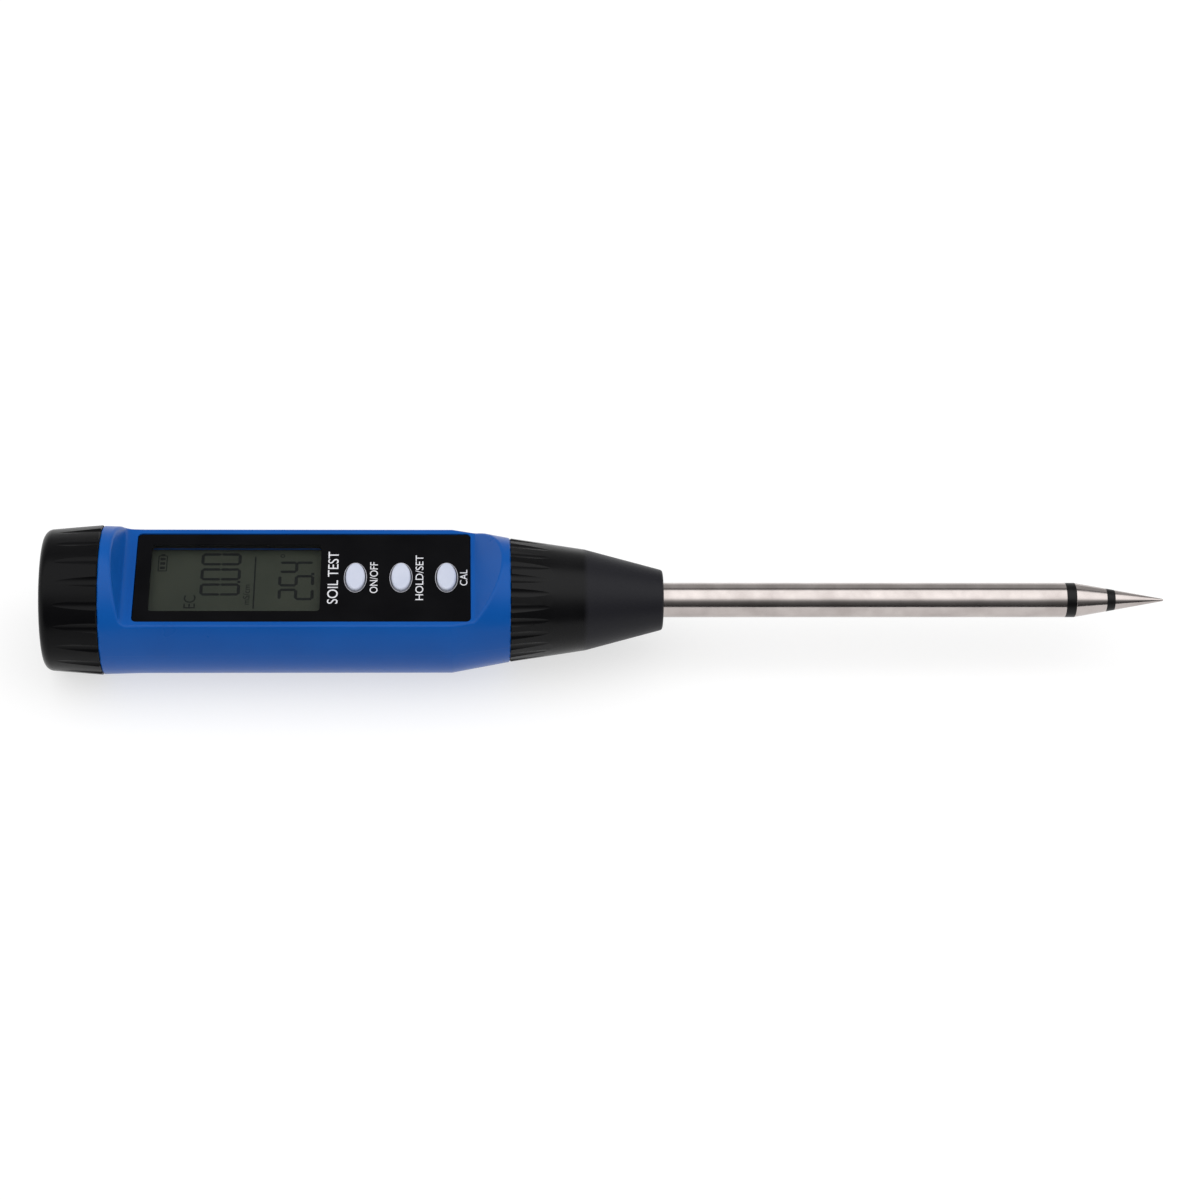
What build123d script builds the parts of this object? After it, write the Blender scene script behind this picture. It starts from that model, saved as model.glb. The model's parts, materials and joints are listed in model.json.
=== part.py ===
"""Hand-held soil probe meter, in millimetres.

The meter lies along X with its display facing up. Its screw cap is at -X and the tip of its
steel probe at +X. The origin is under the middle of its length, on the surface that it lies on.
Heights called "level" are measured from the meter's centre line, which is at axis_height.
"""

import os
from math import radians, sqrt, tan

from build123d import *

os.makedirs("parts", exist_ok=True)

# ---------------------------------------------------------------- lengths along the meter
cap_length = 13.6
nose_length = 35.2
tube_bare_length = 93.65
rear_ring_width = 2.2
ring_electrode_length = 7.4
front_ring_width = 2.0
tip_length = 11.6

# ---------------------------------------------------------------- outer radii and tapers
grip_radius = 16.75
rim_flare = 0.25  # the rim's extra radius
cap_overhang = 0.15  # the cap's extra radius past the rim
cap_draft = 1.1
cap_end_fillet = 2.2
cap_flat_radius = 10.0  # the cap's end is flat out to here, then falls away
cap_end_fall = 0.3
rim_flare_length = 9.0
housing_taper_length = 13.25
housing_taper = 10.6  # degrees
nose_back_length = 17.2
nose_back_taper = 8.6
nose_front_taper = 14.9
nose_end_fillet = 0.7
probe_radius = 4.0
tip_point_radius = 0.3
edge_break = 0.25
seam_gap = 0.1

# ---------------------------------------------------------------- grip flutes
flute_radius = 1.9
cap_flute_count = 20
cap_flute_depth = 0.5
cap_flute_fade = 10.5
nose_flute_count = 26
nose_flute_depth = 0.42
nose_flute_fade = 8.8

# ---------------------------------------------------------------- display face
face_cut = 8.8  # from the top of the grip down to the face
face_rear_margin = 5.0  # from the housing's rim to the foot of the rear ramp
face_front_margin = 8.25  # from the housing's front end to the foot of the front ramp
face_side_land = 1.47
rear_ramp = 75.0  # degrees above the face
front_ramp = 46.0
rear_foot_radius = 2.0
front_foot_radius = 1.2
face_rim_radius = 0.8
panel_rear_margin = 2.5  # from the foot of the rear ramp to the panel
panel_nose_margin = 0.88  # from the panel to the foot of the front ramp
panel_thickness = 1.0
panel_corner = 1.0
panel_sink = 0.15
panel_gap = 0.12
adhesive_thickness = 0.15
window_rear_margin = 3.4
window_length = 38.7
window_width = 20.1
opening_margin = 0.6  # the housing's display opening past the window, all round
window_corner = 0.8
window_gap = 0.02
ceiling_thickness = 1.3

# ---------------------------------------------------------------- keys
key_names = ("power", "hold", "cal")
window_to_key = 7.92
last_key_to_panel_end = 5.4
key_pitch = 10.4
key_half_length = 2.22
key_half_width = 4.05
key_proud = 0.75
key_top_fillet = 0.55
key_hole_gap = 0.2
key_flange_lip = 0.8
key_flange_thickness = 0.95
key_rest_gap = 0.15
key_stem_radius = 1.3
key_travel = 0.5
switch_size = 4.5
switch_height = 1.5
switch_floor = 0.4
plunger_radius = 1.1
plunger_rise = 0.5
plunger_gap = 0.06

# ---------------------------------------------------------------- housing shell and neck
wall = 2.2
neck_length = 8.0
rim_step = 2.7  # the neck is this much smaller in radius than the rim
neck_wall = 1.4
neck_wall_depth = 2.2  # how far the neck's bore runs on inside the housing
end_wall_thickness = 4.0
spigot_step = 3.78
spigot_gap = 0.05
rail_rear_margin = 8.85  # from the housing's rim
rail_height = 1.15
rail_reach = 0.75
rail_gap = 0.06

# ---------------------------------------------------------------- cap closure
thread_pitch = 2.5
thread_turns = 1.9
thread_height = 0.55
thread_root_width = 1.1
thread_crest_width = 0.6
thread_start = 1.0  # from the neck's end
thread_sink = 0.3
cap_bore_gap = 0.75  # the cap's bore past the neck
cap_end_wall = 2.0
cap_ring_section = 1.2
ring_seat_gap = 0.1
cap_boss_radius = 2.6

# ---------------------------------------------------------------- contact disc in the cap
disc_inset = 0.9  # from the neck's bore
disc_thickness = 0.5
disc_hub_radius = 3.0
disc_hub_depth = 0.7
disc_gap = 0.1
disc_spring_wire = 0.5
disc_spring_turns = 2
disc_spring_radius = 4.4
disc_screw_radius = 0.8
disc_screw_head = 2.0
disc_screw_head_height = 0.55
disc_screw_grip = 1.0  # its thread in the cap end
disc_hole_gap = 0.1

# ---------------------------------------------------------------- batteries and chassis
cell_radius = 5.8
cell_height = 5.4
cell_count = 4
cell_bore_gap = 0.1
cell_past_neck_end = 1.3  # from the neck's end to the face of the first cell
cell_rim = 0.35
trough_gap = 0.1
trough_wall = 1.2
spring_room = 2.5
spring_wire = 0.4
spring_radius = 3.4
spring_turns = 3
plate_radius = 4.6
plate_thickness = 0.3
plate_pin_radius = 0.8
deck_thickness = 1.2
deck_inset = 0.7
chassis_gap = 0.3
boss_radius = 2.2
boss_depth = 3.8
strip_width = 3.2
strip_thickness = 0.3
strip_offset = 5.2
strip_lap = 2.0
lead_hole_radius = 0.7
supply_lead_radius = 0.5

# ---------------------------------------------------------------- circuit board
lcd_end_margin = 2.0
lcd_side_margin = 0.8
lcd_thickness = 2.0
lcd_gap = 0.15
lcd_frame_wall = 0.9
lcd_frame_gap = 0.05
zebra_height = 1.8
zebra_width = 1.8
zebra_inset = 0.4
board_thickness = 1.6
board_inset = 0.9
board_rear_margin = 2.6  # from the housing's rim
board_front_margin = 6.75  # from the housing's front end
board_screw_radius = 0.9
board_screw_head = 1.6
board_screw_head_height = 0.9
board_screw_inset = 2.2
board_screw_side_inset = 2.3
board_screw_length = 4.5
board_lift = 0.02
chip_size = 7.0
small_chip_size = 4.9
chip_height = 1.1
crystal_radius = 1.0
crystal_length = 6.0
passive_length = 1.6
passive_width = 0.8
passive_height = 0.6
connector_length = 4.0
connector_width = 7.0
connector_height = 2.6

# ---------------------------------------------------------------- nose and probe
nose_wall = 2.2
nose_ring_section = 1.0
nose_ring_groove = 0.75
nose_ring_offset = 1.2
nose_block_length = 14.4
tube_wall = 0.5
shank_step = 0.2  # the part of the tube inside the nose is turned down by this much
tube_bond_gap = 0.02
collar_radius = 6.2
collar_length = 3.0
tube_tail = 1.0
insulator_tail = 6.0
ring_tail = 5.0
stem_radius = 0.9
inner_sleeve_wall = 0.6
ring_spigot_wall = 1.0
thermistor_radius = 0.9
thermistor_level = -1.4
lead_radius = 0.3
lead_level = 2.2
lead_pitch = 1.0
thermistor_length = 5.0
thermistor_gap = 1.0
stem_tail = 1.0
electrode_chamfer = 0.15
lead_count = 4
lead_straight = 2.0
lead_bend_radius = 3.0
lead_end_gap = 0.1

# ---------------------------------------------------------------- sizes worked out from others
rim_radius = grip_radius + rim_flare
face_level = grip_radius - face_cut
cap_mouth_radius = rim_radius + cap_overhang
cap_end_radius = cap_mouth_radius - cap_draft
neck_radius = rim_radius - rim_step
neck_bore_radius = neck_radius - neck_wall
chassis_radius = neck_bore_radius - chassis_gap
deck_half_width = chassis_radius - deck_inset
board_half_width = deck_half_width - board_inset
board_screw_side = board_half_width - board_screw_side_inset
disc_radius = neck_bore_radius - disc_inset
cell_level = cell_radius + cell_bore_gap - neck_bore_radius
first_key_offset = window_rear_margin + window_length + window_to_key
panel_length = first_key_offset + (len(key_names) - 1) * key_pitch + last_key_to_panel_end
panel_width = 2 * (sqrt(grip_radius**2 - face_level**2) - face_side_land)
housing_length = (
    face_rear_margin + panel_rear_margin + panel_length + panel_nose_margin + face_front_margin
)
lcd_length = window_length + 2 * lcd_end_margin
lcd_width = window_width + 2 * lcd_side_margin

# ---------------------------------------------------------------- stations along X
total_length = (
    cap_length
    + housing_length
    + nose_length
    + tube_bare_length
    + rear_ring_width
    + ring_electrode_length
    + front_ring_width
    + tip_length
)
cap_end_x = -total_length / 2
rim_x = cap_end_x + cap_length
nose_x = rim_x + housing_length
nose_end_x = nose_x + nose_length
rear_ring_x = nose_end_x + tube_bare_length
ring_electrode_x = rear_ring_x + rear_ring_width
front_ring_x = ring_electrode_x + ring_electrode_length
tip_x = front_ring_x + front_ring_width
point_x = tip_x + tip_length
axis_height = cap_mouth_radius
neck_end_x = rim_x - neck_length
cap_floor_x = cap_end_x + cap_end_wall
cell_x = neck_end_x - cell_past_neck_end
boss_top_x = cell_x - disc_thickness - disc_hub_depth - disc_gap
disc_screw_end_x = cap_floor_x - disc_screw_grip
cells_end_x = cell_x + cell_count * cell_height
trough_wall_x = cells_end_x + spring_room
board_front_x = rim_x + housing_length - board_front_margin
board_x = rim_x + board_rear_margin
board_length = board_front_x - board_x
block_x = nose_end_x - nose_block_length
tube_x = block_x - collar_length - tube_tail
insulator_tail_x = rear_ring_x - insulator_tail
stem_end_x = insulator_tail_x - stem_tail
end_wall_x = nose_x - end_wall_thickness
taper_x = nose_x - housing_taper_length
knee_x = nose_x + nose_back_length

face_rear_x = rim_x + face_rear_margin
face_front_x = nose_x - face_front_margin
panel_x = face_rear_x + panel_rear_margin
panel_mid_x = panel_x + panel_length / 2
window_mid_x = panel_x + window_rear_margin + window_length / 2
key_xs = [panel_x + first_key_offset + n * key_pitch for n in range(len(key_names))]

# ---------------------------------------------------------------- levels above the centre line
panel_top = face_level - panel_sink
panel_bottom = panel_top - panel_thickness
pocket_floor = panel_bottom - adhesive_thickness
ceiling_level = pocket_floor - ceiling_thickness
lcd_top = ceiling_level - lcd_gap
lcd_bottom = lcd_top - lcd_thickness
board_top = lcd_bottom - zebra_height
board_bottom = board_top - board_thickness
deck_top = board_bottom - board_lift
deck_bottom = deck_top - deck_thickness
key_top = panel_top + key_proud
flange_top = ceiling_level - key_rest_gap
flange_bottom = flange_top - key_flange_thickness
switch_top = board_top + switch_height
plunger_top = switch_top + plunger_rise

# ---------------------------------------------------------------- radii worked out from others
nose_x_radius = grip_radius - housing_taper_length * tan(radians(housing_taper))
knee_radius = nose_x_radius - nose_back_length * tan(radians(nose_back_taper))
nose_end_radius = knee_radius - (nose_length - nose_back_length) * tan(radians(nose_front_taper))
cavity_radius = grip_radius - wall
thread_crest_radius = neck_radius + thread_height
cap_bore_radius = neck_radius + cap_bore_gap
cap_thread_crest_radius = cap_bore_radius - thread_height
ring_seat_radius = neck_radius + cap_ring_section + ring_seat_gap
spigot_radius = nose_x_radius - spigot_step
nose_bore_radius = spigot_radius - nose_wall
tube_bore_radius = probe_radius - tube_wall
shank_radius = probe_radius - shank_step
inner_sleeve_radius = stem_radius + inner_sleeve_wall
ring_spigot_radius = inner_sleeve_radius + ring_spigot_wall

centre_line = Axis((0, 0, axis_height), (1, 0, 0))
side_view = Plane(origin=(0, 0, axis_height), x_dir=(1, 0, 0), z_dir=(0, -1, 0))


def section(x, level=0.0, y=0.0):
    """A plane across the meter: its own x is the row's Y, and its own y is up."""
    return Plane(origin=(x, y, axis_height + level), x_dir=(0, 1, 0), z_dir=(1, 0, 0))


def flat(level, x=0.0, y=0.0):
    """A horizontal plane at a level above the centre line."""
    return Plane(origin=(x, y, axis_height + level))


def save(part, name):
    part.label = name
    export_step(part, f"parts/{name}.step")


def cone_radius(x):
    """Radius of the tapered tip, from the rear ring to the point."""
    share = (x - ring_electrode_x) / (point_x - ring_electrode_x)
    return probe_radius + share * (tip_point_radius - probe_radius)


def flute(x, radius, far_x, far_radius, depth):
    """The tool for one groove: it cuts `depth` deep at x and runs out to the skin at far_x."""
    start = Vector(x, 0, axis_height + radius - depth + flute_radius)
    end = Vector(far_x, 0, axis_height + far_radius + flute_radius)
    lead_in = (start - end).normalized()
    with BuildPart() as tool:
        with BuildSketch(Plane(origin=start + lead_in, x_dir=(0, 1, 0), z_dir=lead_in)):
            Circle(flute_radius)
        extrude(amount=-(start - end).length - 2)
    return tool.part


def cut_flutes(tool, count):
    """Cut the groove into the open part, evenly round the centre line, with a land at the bottom."""
    for turn in range(count):
        add(tool.rotate(centre_line, (turn + 0.5) * 360 / count), mode=Mode.SUBTRACT)


def coil(start_x, end_x, radius, wire_radius, turns, level=0.0):
    """A compression spring along X whose ends stop at start_x and end_x."""
    height = end_x - start_x - 2 * wire_radius
    with BuildPart() as spring:
        with BuildLine():
            path = Helix(
                pitch=height / turns,
                height=height,
                radius=radius,
                center=(start_x + wire_radius, 0, axis_height + level),
                direction=(1, 0, 0),
            )
        with BuildSketch(Plane(origin=path @ 0, z_dir=path % 0)):
            Circle(wire_radius * 0.9)
        sweep(path=path, is_frenet=True)
    return spring.part


# ================================================================ threads of neck and cap
def thread_ridge(start_x, root_radius, crest_radius):
    """One helical ridge round the centre line; its root is sunk in the wall that carries it."""
    height = thread_pitch * thread_turns
    sunk = root_radius - thread_sink if crest_radius > root_radius else root_radius + thread_sink
    with BuildPart() as ridge:
        with BuildLine():
            path = Helix(
                pitch=thread_pitch,
                height=height,
                radius=root_radius,
                center=(start_x, 0, axis_height),
                direction=(1, 0, 0),
            )
        start = path @ 0
        outward = (start - Vector(start_x, 0, axis_height)).normalized()
        with BuildSketch(Plane(origin=start, x_dir=outward, z_dir=path % 0)):
            with BuildLine():
                Polyline(
                    (sunk - root_radius, -thread_root_width / 2),
                    (crest_radius - root_radius, -thread_crest_width / 2),
                    (crest_radius - root_radius, thread_crest_width / 2),
                    (sunk - root_radius, thread_root_width / 2),
                    close=True,
                )
            make_face()
        sweep(path=path, is_frenet=True)
    return ridge.part


male_thread_x = neck_end_x + thread_start
neck_thread = thread_ridge(male_thread_x, neck_radius, thread_crest_radius)
cap_thread = thread_ridge(
    male_thread_x - thread_pitch / 2, cap_bore_radius, cap_thread_crest_radius
)

# ================================================================ housing
def hollow(grow):
    """The housing's round hollow, with its radius grown by `grow`."""
    radius = cavity_radius + grow
    end_radius = radius - (end_wall_x - taper_x) * tan(radians(housing_taper))
    with BuildPart() as space:
        with BuildSketch(side_view):
            with BuildLine():
                Polyline(
                    (rim_x + neck_wall_depth, 0),
                    (rim_x + neck_wall_depth, radius),
                    (taper_x, radius),
                    (end_wall_x, end_radius),
                    (end_wall_x, 0),
                    close=True,
                )
            make_face()
        revolve(axis=centre_line)
        split(bisect_by=flat(ceiling_level), keep=Keep.BOTTOM)
    return space.part


with BuildPart() as rails:
    for side in (-1, 1):
        for bottom in (deck_top + rail_gap, deck_bottom - rail_gap - rail_height):
            inner = deck_half_width - rail_reach
            mid = side * (inner + grip_radius) / 2
            with BuildSketch(section(end_wall_x, bottom + rail_height / 2, mid)):
                Rectangle(grip_radius - inner, rail_height)
            extrude(amount=rim_x + rail_rear_margin - end_wall_x)
    add(hollow(wall / 3), mode=Mode.INTERSECT)

with BuildPart() as recess:
    crown_rise = grip_radius
    with BuildSketch(side_view):
        with BuildLine():
            Polyline(
                (face_rear_x, face_level),
                (face_front_x, face_level),
                (face_front_x + crown_rise / tan(radians(front_ramp)), face_level + crown_rise),
                (face_rear_x - crown_rise / tan(radians(rear_ramp)), face_level + crown_rise),
                close=True,
            )
        make_face()
    extrude(amount=grip_radius * 1.2, both=True)
    feet = recess.edges().filter_by(Axis.Y).group_by(Axis.Z)[0].sort_by(Axis.X)
    fillet(feet[0], rear_foot_radius)
    fillet(feet[-1], front_foot_radius)

with BuildPart() as housing:
    with BuildSketch(side_view):
        with BuildLine():
            Polyline(
                (taper_x, grip_radius),
                (rim_x + rim_flare_length, grip_radius),
                (rim_x, rim_radius),
                (rim_x, neck_radius),
                (neck_end_x, neck_radius),
                (neck_end_x, 0),
                (nose_x, 0),
                (nose_x, nose_x_radius),
                close=True,
            )
        make_face()
    revolve(axis=centre_line)
    outer_ends = housing.edges().filter_by(GeomType.CIRCLE)
    chamfer(
        outer_ends.filter_by(lambda e: abs(e.center().X - nose_x) < 0.01)
        + outer_ends.filter_by(
            lambda e: abs(e.center().X - rim_x) < 0.01 and e.radius > neck_radius + 0.1
        ),
        edge_break,
    )
    add(recess.part, mode=Mode.SUBTRACT)
    face_bounds = (
        housing.faces()
        .filter_by(Axis.Z)
        .filter_by(lambda f: abs(f.center().Z - axis_height - face_level) < 0.01)
        .edges()
        .filter_by(Axis.X)
    )
    ramp_bounds = housing.edges().filter_by(
        lambda e: (
            e.geom_type != GeomType.LINE
            and e.geom_type != GeomType.CIRCLE
            and e.center().Z > axis_height + face_level
        )
    )
    fillet(face_bounds + ramp_bounds, face_rim_radius)
    # pocket for the panel
    with BuildSketch(flat(face_level, panel_mid_x)):
        RectangleRounded(
            panel_length + 2 * panel_gap, panel_width + 2 * panel_gap, panel_corner + panel_gap
        )
    extrude(amount=pocket_floor - face_level, mode=Mode.SUBTRACT)
    # display and key openings through the ceiling
    with BuildSketch(flat(pocket_floor, window_mid_x)):
        RectangleRounded(
            window_length + 2 * opening_margin, window_width + 2 * opening_margin, window_corner
        )
    extrude(amount=-2 * ceiling_thickness, mode=Mode.SUBTRACT)
    with BuildSketch(flat(pocket_floor)):
        with Locations([(x, 0) for x in key_xs]):
            Ellipse(key_half_length + key_hole_gap, key_half_width + key_hole_gap)
    extrude(amount=-2 * ceiling_thickness, mode=Mode.SUBTRACT)
    # hollow, neck bore and front bore
    add(hollow(0), mode=Mode.SUBTRACT)
    with BuildSketch(section(neck_end_x)):
        Circle(neck_bore_radius)
    extrude(amount=neck_length + neck_wall_depth, mode=Mode.SUBTRACT)
    with BuildSketch(section(nose_x)):
        Circle(spigot_radius + spigot_gap)
    extrude(amount=-end_wall_thickness, mode=Mode.SUBTRACT)
    add(rails.part)
    add(neck_thread)
save(housing.part, "housing")

# ================================================================ display panel and window
with BuildPart() as front_panel:
    with BuildSketch(flat(panel_bottom, panel_mid_x)):
        RectangleRounded(panel_length, panel_width, panel_corner)
        with Locations((window_mid_x - panel_mid_x, 0)):
            RectangleRounded(window_length, window_width, window_corner, mode=Mode.SUBTRACT)
        with Locations([(x - panel_mid_x, 0) for x in key_xs]):
            Ellipse(
                key_half_length + key_hole_gap,
                key_half_width + key_hole_gap,
                mode=Mode.SUBTRACT,
            )
    extrude(amount=panel_thickness)
    chamfer(
        front_panel.faces().sort_by(Axis.Z)[-1].outer_wire().edges(),
        edge_break / 2,
    )
save(front_panel.part, "front_panel")

with BuildPart() as display_window:
    with BuildSketch(flat(panel_bottom, window_mid_x)):
        RectangleRounded(
            window_length - 2 * window_gap,
            window_width - 2 * window_gap,
            window_corner - window_gap,
        )
    extrude(amount=panel_thickness)
save(display_window.part, "display_window")

with BuildPart() as panel_adhesive:
    with BuildSketch(flat(pocket_floor, panel_mid_x)):
        RectangleRounded(panel_length - 1, panel_width - 1, panel_corner)
        with Locations((window_mid_x - panel_mid_x, 0)):
            RectangleRounded(window_length, window_width, window_corner, mode=Mode.SUBTRACT)
        with Locations([(x - panel_mid_x, 0) for x in key_xs]):
            Ellipse(
                key_half_length + 2 * key_hole_gap,
                key_half_width + 2 * key_hole_gap,
                mode=Mode.SUBTRACT,
            )
    extrude(amount=adhesive_thickness)
save(panel_adhesive.part, "panel_adhesive")

# ================================================================ keys and their switches
for key_name, key_x in zip(key_names, key_xs):
    with BuildPart() as key:
        with BuildSketch(flat(flange_top, key_x)):
            Ellipse(key_half_length, key_half_width)
        extrude(amount=key_top - flange_top)
        fillet(key.faces().sort_by(Axis.Z)[-1].edges(), key_top_fillet)
        with BuildSketch(flat(flange_top, key_x)):
            Ellipse(key_half_length + key_flange_lip, key_half_width + key_flange_lip)
        extrude(amount=-key_flange_thickness)
        with BuildSketch(flat(flange_bottom, key_x)):
            Circle(key_stem_radius)
        extrude(amount=plunger_top - flange_bottom)
    save(key.part, f"{key_name}_key")

    with BuildPart() as switch:
        with BuildSketch(flat(board_top, key_x)):
            Rectangle(switch_size, switch_size)
        extrude(amount=switch_height)
        chamfer(switch.edges().filter_by(Axis.Z), switch_size / 12)
        with BuildSketch(flat(board_top + switch_floor, key_x)):
            Circle(plunger_radius + plunger_gap)
        extrude(amount=switch_height, mode=Mode.SUBTRACT)
    save(switch.part, f"{key_name}_switch")

    with BuildPart() as plunger:
        plunger_base = board_top + switch_floor + key_travel + plunger_gap
        with BuildSketch(flat(plunger_base, key_x)):
            Circle(plunger_radius)
        extrude(amount=plunger_top - plunger_base)
    save(plunger.part, f"{key_name}_plunger")

# ================================================================ screw cap
with BuildPart() as battery_cap:
    cap_mouth_x = rim_x - seam_gap
    with BuildSketch(side_view):
        with BuildLine():
            Polyline(
                (cap_mouth_x, 0),
                (cap_mouth_x, cap_mouth_radius),
                (cap_end_x + cap_end_fall, cap_end_radius),
                (cap_end_x, cap_flat_radius),
                (cap_end_x, 0),
                close=True,
            )
        make_face()
    revolve(axis=centre_line)
    fillet(
        battery_cap.edges()
        .filter_by(GeomType.CIRCLE)
        .filter_by(lambda e: abs(e.radius - cap_end_radius) < 0.01),
        cap_end_fillet,
    )
    chamfer(battery_cap.edges().group_by(Axis.X)[-1], edge_break)
    with BuildSketch(section(cap_mouth_x)):
        Circle(cap_bore_radius)
    extrude(amount=-(cap_mouth_x - cap_end_x - cap_end_wall), mode=Mode.SUBTRACT)
    with BuildSketch(section(cap_mouth_x)):
        Circle(ring_seat_radius)
    extrude(amount=-(cap_ring_section + ring_seat_gap), mode=Mode.SUBTRACT)
    with BuildSketch(section(cap_end_x + cap_end_wall)):
        Circle(cap_boss_radius)
    extrude(amount=boss_top_x - cap_floor_x)
    with BuildSketch(section(boss_top_x)):
        Circle(disc_screw_radius)
    extrude(amount=disc_screw_end_x - boss_top_x, mode=Mode.SUBTRACT)
    fade_radius = cap_mouth_radius - cap_flute_fade * (cap_mouth_radius - cap_end_radius) / cap_length
    cut_flutes(
        flute(cap_mouth_x, cap_mouth_radius, cap_mouth_x - cap_flute_fade, fade_radius, cap_flute_depth),
        cap_flute_count,
    )
    add(cap_thread)
save(battery_cap.part, "battery_cap")

with BuildPart() as cap_o_ring:
    with BuildSketch(side_view):
        with Locations((rim_x - cap_ring_section / 2, neck_radius + cap_ring_section / 2)):
            Circle(cap_ring_section / 2)
    revolve(axis=centre_line)
save(cap_o_ring.part, "cap_o_ring")


with BuildPart() as contact_disc:
    with BuildSketch(section(cell_x)):
        Circle(disc_radius)
        Circle(disc_hub_radius, mode=Mode.SUBTRACT)
    extrude(amount=-disc_thickness)
    with BuildSketch(section(cell_x - disc_thickness)):
        Circle(disc_hub_radius + disc_thickness)
        Circle(disc_hub_radius, mode=Mode.SUBTRACT)
    extrude(amount=-disc_hub_depth)
    with BuildSketch(section(cell_x - disc_hub_depth)):
        Circle(disc_hub_radius)
        Circle(disc_screw_radius + disc_hole_gap, mode=Mode.SUBTRACT)
    extrude(amount=-disc_thickness)
save(contact_disc.part, "contact_disc")

disc_spring = coil(
    cap_floor_x, cell_x - disc_thickness, disc_spring_radius, disc_spring_wire / 2, disc_spring_turns
)
save(disc_spring, "disc_spring")

with BuildPart() as disc_screw:
    hub_face_x = cell_x - disc_hub_depth
    with BuildSketch(section(hub_face_x)):
        Circle(disc_screw_head)
    extrude(amount=disc_screw_head_height)
    fillet(disc_screw.edges().group_by(Axis.X)[-1], disc_screw_head_height / 3)
    with BuildSketch(section(hub_face_x)):
        Circle(disc_screw_radius)
    extrude(amount=disc_screw_end_x - hub_face_x)
save(disc_screw.part, "disc_screw")

# ================================================================ battery chassis and cells
screw_places = [
    (x, y)
    for x in (board_x + board_screw_inset, board_front_x - board_screw_inset)
    for y in (-board_screw_side, board_screw_side)
]
supply_x = trough_wall_x + trough_wall + supply_lead_radius

with BuildPart() as battery_chassis:
    with BuildSketch(flat(deck_bottom, (neck_end_x + board_front_x) / 2)):
        Rectangle(board_front_x - neck_end_x, 2 * deck_half_width)
    extrude(amount=deck_thickness)
    # trough for the cells
    block_half_width = cell_radius + trough_gap + trough_wall
    with BuildSketch(section(neck_end_x)):
        Circle(chassis_radius)
        Rectangle(2 * block_half_width, 2 * chassis_radius, mode=Mode.INTERSECT)
        with Locations((0, deck_bottom + chassis_radius)):
            Rectangle(2 * chassis_radius, 2 * chassis_radius, mode=Mode.SUBTRACT)
    extrude(amount=trough_wall_x + trough_wall - neck_end_x)
    with BuildSketch(section(neck_end_x, cell_level)):
        Circle(cell_radius + trough_gap)
    extrude(amount=trough_wall_x - neck_end_x, mode=Mode.SUBTRACT)
    with BuildSketch(section(trough_wall_x, cell_level)):
        Circle(plate_pin_radius)
    extrude(amount=trough_wall, mode=Mode.SUBTRACT)
    # bosses and holes for the board's screws, and the hole for the supply lead
    with BuildSketch(flat(deck_bottom)):
        with Locations(screw_places):
            Circle(boss_radius)
    extrude(amount=-boss_depth)
    with BuildSketch(flat(deck_top)):
        with Locations(screw_places):
            Circle(board_screw_radius)
    extrude(amount=-(deck_thickness + boss_depth - trough_wall), mode=Mode.SUBTRACT)
    with BuildSketch(flat(deck_top)):
        with Locations((supply_x, 0)):
            Circle(lead_hole_radius)
    extrude(amount=-deck_thickness, mode=Mode.SUBTRACT)
save(battery_chassis.part, "battery_chassis")

with BuildPart() as cell:
    with BuildSketch(section(cell_x, cell_level)):
        Circle(cell_radius)
    extrude(amount=cell_height)
    chamfer(cell.edges(), cell_rim)
button_cells = Compound(
    children=[Pos(n * cell_height, 0, 0) * cell.part for n in range(cell_count)]
)
save(button_cells, "button_cells")

with BuildPart() as negative_plate:
    with BuildSketch(section(trough_wall_x, cell_level)):
        Circle(plate_radius)
    extrude(amount=-plate_thickness)
    with BuildSketch(section(trough_wall_x, cell_level)):
        Circle(plate_pin_radius)
    extrude(amount=trough_wall)
save(negative_plate.part, "negative_plate")

battery_spring = coil(
    cells_end_x,
    trough_wall_x - plate_thickness,
    spring_radius,
    spring_wire / 2,
    spring_turns,
    cell_level,
)
save(battery_spring, "battery_spring")

with BuildPart() as supply_lead:
    with BuildSketch(flat(cell_level - supply_lead_radius, supply_x)):
        Circle(supply_lead_radius)
    extrude(amount=board_top + passive_height - cell_level)
save(supply_lead.part, "supply_lead")

with BuildPart() as contact_strips:
    for side in (-1, 1):
        with BuildSketch(side_view.offset(-side * strip_offset)):
            with BuildLine():
                Polyline(
                    (cell_x, deck_top),
                    (board_x - board_lift, deck_top),
                    (board_x - board_lift, board_top + board_lift),
                    (board_x + strip_lap, board_top + board_lift),
                    (board_x + strip_lap, board_top + board_lift + strip_thickness),
                    (board_x - board_lift - strip_thickness, board_top + board_lift + strip_thickness),
                    (board_x - board_lift - strip_thickness, deck_top + strip_thickness),
                    (cell_x + strip_thickness, deck_top + strip_thickness),
                    (cell_x + strip_thickness, deck_top + strip_width / 2),
                    (cell_x, deck_top + strip_width / 2),
                    close=True,
                )
            make_face()
        extrude(amount=strip_width / 2, both=True)
save(contact_strips.part, "contact_strips")

# ================================================================ circuit board and display
with BuildPart() as main_board:
    with BuildSketch(flat(board_bottom, board_x + board_length / 2)):
        Rectangle(board_length, 2 * board_half_width)
    extrude(amount=board_thickness)
    with BuildSketch(flat(board_bottom)):
        with Locations(screw_places):
            Circle(board_screw_radius)
        with Locations((supply_x, 0)):
            Circle(lead_hole_radius)
    extrude(amount=board_thickness, mode=Mode.SUBTRACT)
save(main_board.part, "main_board")

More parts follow.
